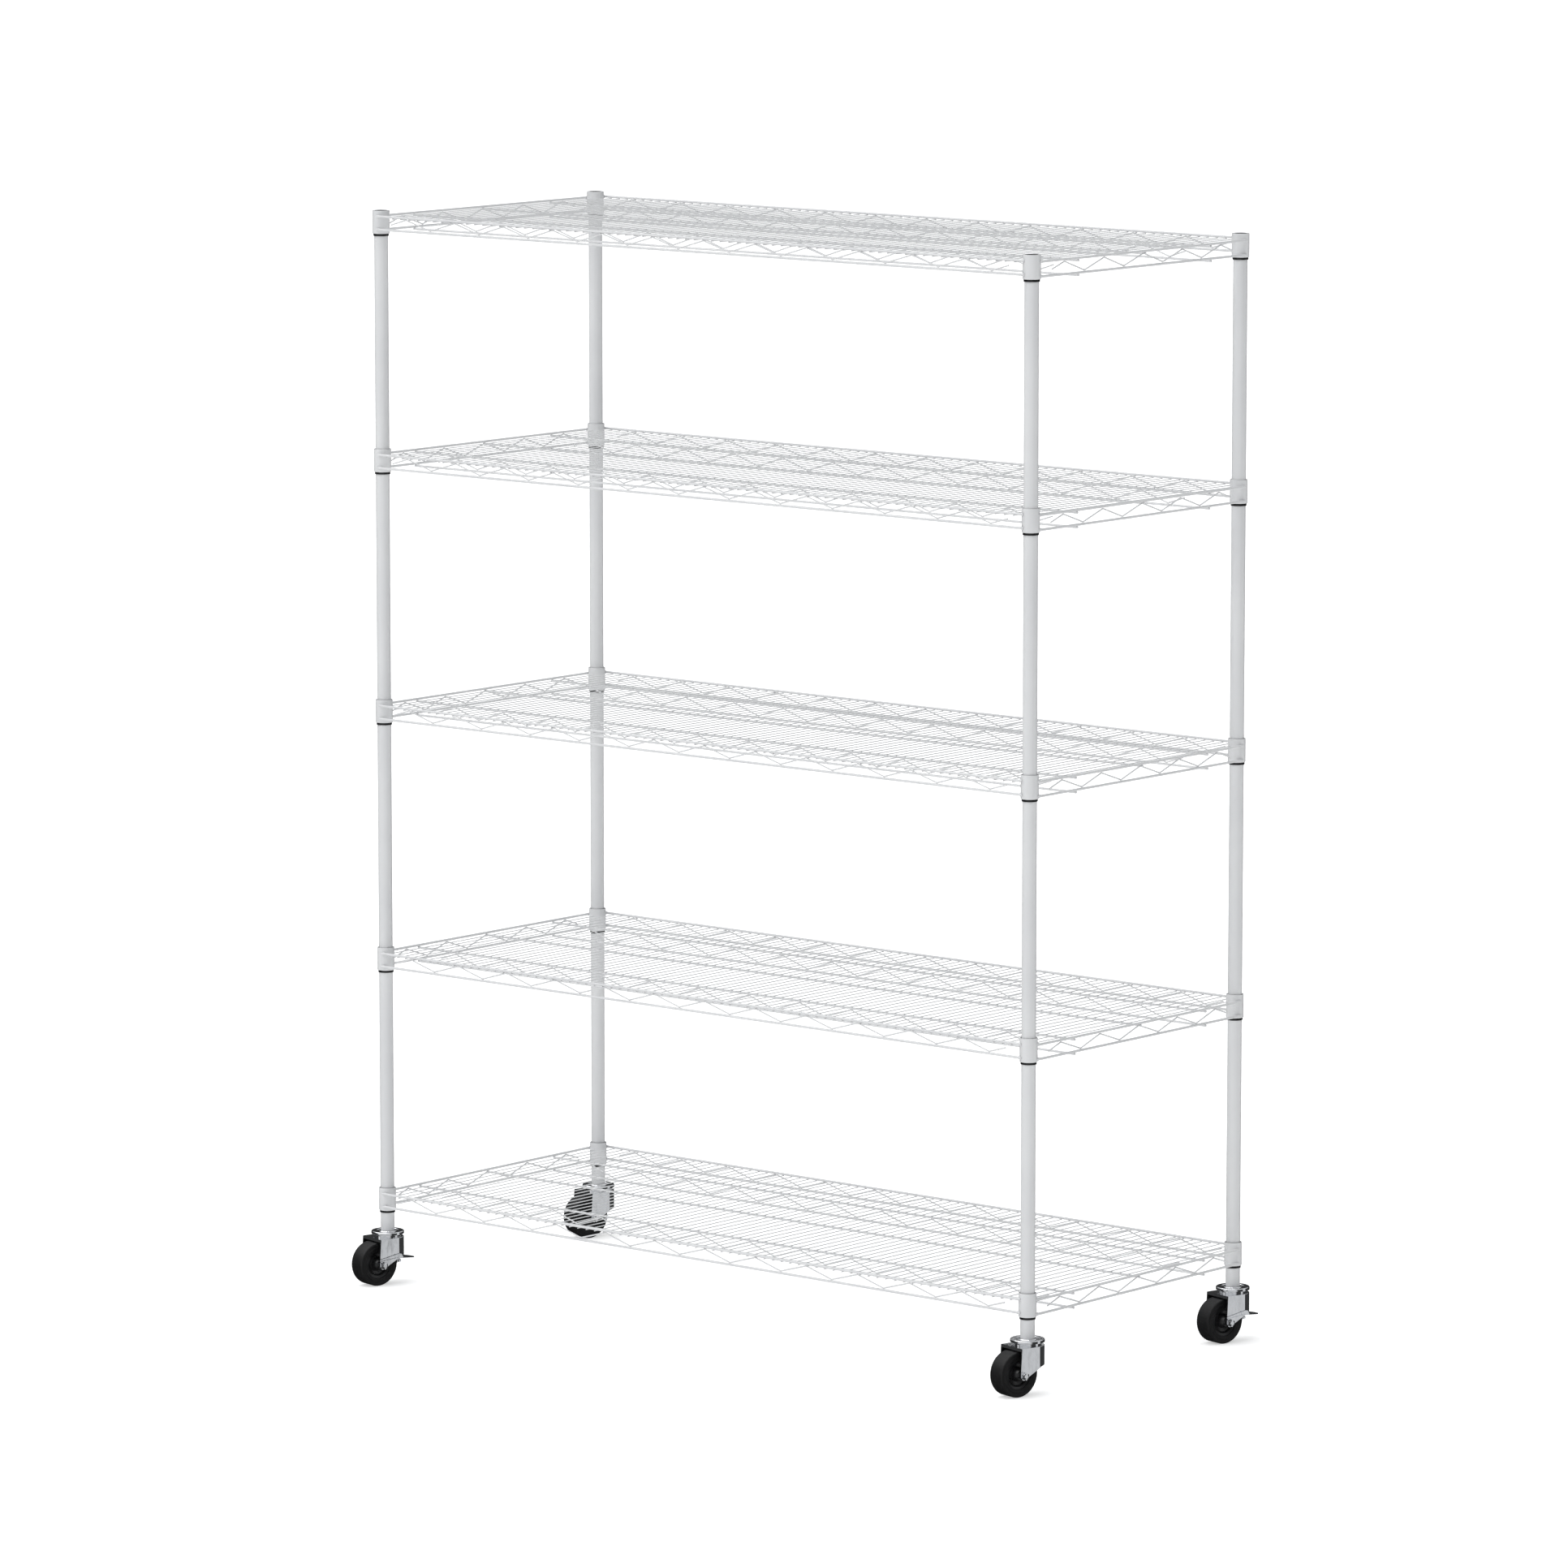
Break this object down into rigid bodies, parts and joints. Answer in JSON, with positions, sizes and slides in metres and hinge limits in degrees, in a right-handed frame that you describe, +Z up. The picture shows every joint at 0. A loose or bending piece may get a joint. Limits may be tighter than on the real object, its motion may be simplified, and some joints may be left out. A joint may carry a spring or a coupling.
{
  "type": "mobile wire shelving rack",
  "caption": "Free-standing mobile wire shelving rack: tube posts carry level welded wire shelves on split sleeves, on swivel casters with foot brakes.",
  "frame": {"origin": "on the floor, under the middle of the rectangle of the four posts", "axes": "+X along the shelves' length, +Y across the shelves towards the back, +Z up"},
  "size_m": [1.5671, 0.7106, 1.9615],
  "materials": {
    "white_powder_coat": "smooth white powder coat, slight orange peel, semi-gloss",
    "bright_chrome": "bright plated pressed steel",
    "bearing_steel": "polished bearing balls",
    "black_plastic": "black moulded plastic",
    "black_hub": "black moulded wheel centre",
    "black_tyre": "black hard rubber tread"
  },
  "bodies": {
    "rack": {"caster_stem_back_left": "bright_chrome", "caster_stem_back_right": "bright_chrome", "caster_stem_front_left": "bright_chrome", "caster_stem_front_right": "bright_chrome", "post_back_left": "white_powder_coat", "post_back_right": "white_powder_coat", "post_caps": "black_plastic", "post_front_left": "white_powder_coat", "post_front_right": "white_powder_coat", "shelf_1_collars": "white_powder_coat", "shelf_1_deck_wires": "white_powder_coat", "shelf_1_edge_zigzags": "white_powder_coat", "shelf_1_rails": "white_powder_coat", "shelf_1_sleeve_halves": "black_plastic", "shelf_1_support_trusses": "white_powder_coat", "shelf_2_collars": "white_powder_coat", "shelf_2_deck_wires": "white_powder_coat", "shelf_2_edge_zigzags": "white_powder_coat", "shelf_2_rails": "white_powder_coat", "shelf_2_sleeve_halves": "black_plastic", "shelf_2_support_trusses": "white_powder_coat", "shelf_3_collars": "white_powder_coat", "shelf_3_deck_wires": "white_powder_coat", "shelf_3_edge_zigzags": "white_powder_coat", "shelf_3_rails": "white_powder_coat", "shelf_3_sleeve_halves": "black_plastic", "shelf_3_support_trusses": "white_powder_coat", "shelf_4_collars": "white_powder_coat", "shelf_4_deck_wires": "white_powder_coat", "shelf_4_edge_zigzags": "white_powder_coat", "shelf_4_rails": "white_powder_coat", "shelf_4_sleeve_halves": "black_plastic", "shelf_4_support_trusses": "white_powder_coat", "shelf_5_collars": "white_powder_coat", "shelf_5_deck_wires": "white_powder_coat", "shelf_5_edge_zigzags": "white_powder_coat", "shelf_5_rails": "white_powder_coat", "shelf_5_sleeve_halves": "black_plastic", "shelf_5_support_trusses": "white_powder_coat", "stem_sockets": "black_plastic", "swivel_balls": "bearing_steel"},
    "swivel_front_left": {"caster_fork_front_left": "bright_chrome", "caster_axle_front_left": "bright_chrome"},
    "wheel_front_left": {"wheel_hub_front_left": "black_hub", "tyre_front_left": "black_tyre"},
    "swivel_front_right": {"caster_fork_front_right": "bright_chrome", "caster_axle_front_right": "bright_chrome"},
    "wheel_front_right": {"wheel_hub_front_right": "black_hub", "tyre_front_right": "black_tyre"},
    "swivel_back_left": {"caster_fork_back_left": "bright_chrome", "caster_axle_back_left": "bright_chrome"},
    "wheel_back_left": {"wheel_hub_back_left": "black_hub", "tyre_back_left": "black_tyre"},
    "swivel_back_right": {"caster_fork_back_right": "bright_chrome", "caster_axle_back_right": "bright_chrome"},
    "wheel_back_right": {"wheel_hub_back_right": "black_hub", "tyre_back_right": "black_tyre"},
    "brake_front_left": {"brake_lever_front_left": "bright_chrome"},
    "brake_back_right": {"brake_lever_back_right": "bright_chrome"}
  },
  "joints": [
    {"name": "swivel_front_left", "type": "hinge", "parent": "rack", "child": "swivel_front_left", "pos_m": [-0.745, -0.292, 0.098], "axis": [0, 0, 1], "continuous": true},
    {"name": "wheel_front_left", "type": "hinge", "parent": "swivel_front_left", "child": "wheel_front_left", "pos_m": [-0.75175, -0.32123, 0.04], "axis": [0.9744, -0.225, 0], "continuous": true},
    {"name": "swivel_front_right", "type": "hinge", "parent": "rack", "child": "swivel_front_right", "pos_m": [0.745, -0.292, 0.098], "axis": [0, 0, 1], "continuous": true},
    {"name": "wheel_front_right", "type": "hinge", "parent": "swivel_front_right", "child": "wheel_front_right", "pos_m": [0.73825, -0.32123, 0.04], "axis": [0.9744, -0.225, 0], "continuous": true},
    {"name": "swivel_back_left", "type": "hinge", "parent": "rack", "child": "swivel_back_left", "pos_m": [-0.745, 0.292, 0.098], "axis": [0, 0, 1], "continuous": true},
    {"name": "wheel_back_left", "type": "hinge", "parent": "swivel_back_left", "child": "wheel_back_left", "pos_m": [-0.75175, 0.26277, 0.04], "axis": [0.9744, -0.225, 0], "continuous": true},
    {"name": "swivel_back_right", "type": "hinge", "parent": "rack", "child": "swivel_back_right", "pos_m": [0.745, 0.292, 0.098], "axis": [0, 0, 1], "continuous": true},
    {"name": "wheel_back_right", "type": "hinge", "parent": "swivel_back_right", "child": "wheel_back_right", "pos_m": [0.73825, 0.26277, 0.04], "axis": [0.9744, -0.225, 0], "continuous": true},
    {"name": "brake_front_left", "type": "hinge", "parent": "swivel_front_left", "child": "brake_front_left", "pos_m": [-0.74567, -0.29492, 0.0545], "axis": [-0.9744, 0.225, 0], "range_deg": [0, 7]},
    {"name": "brake_back_right", "type": "hinge", "parent": "swivel_back_right", "child": "brake_back_right", "pos_m": [0.74433, 0.28908, 0.0545], "axis": [-0.9744, 0.225, 0], "range_deg": [0, 7]}
  ]
}
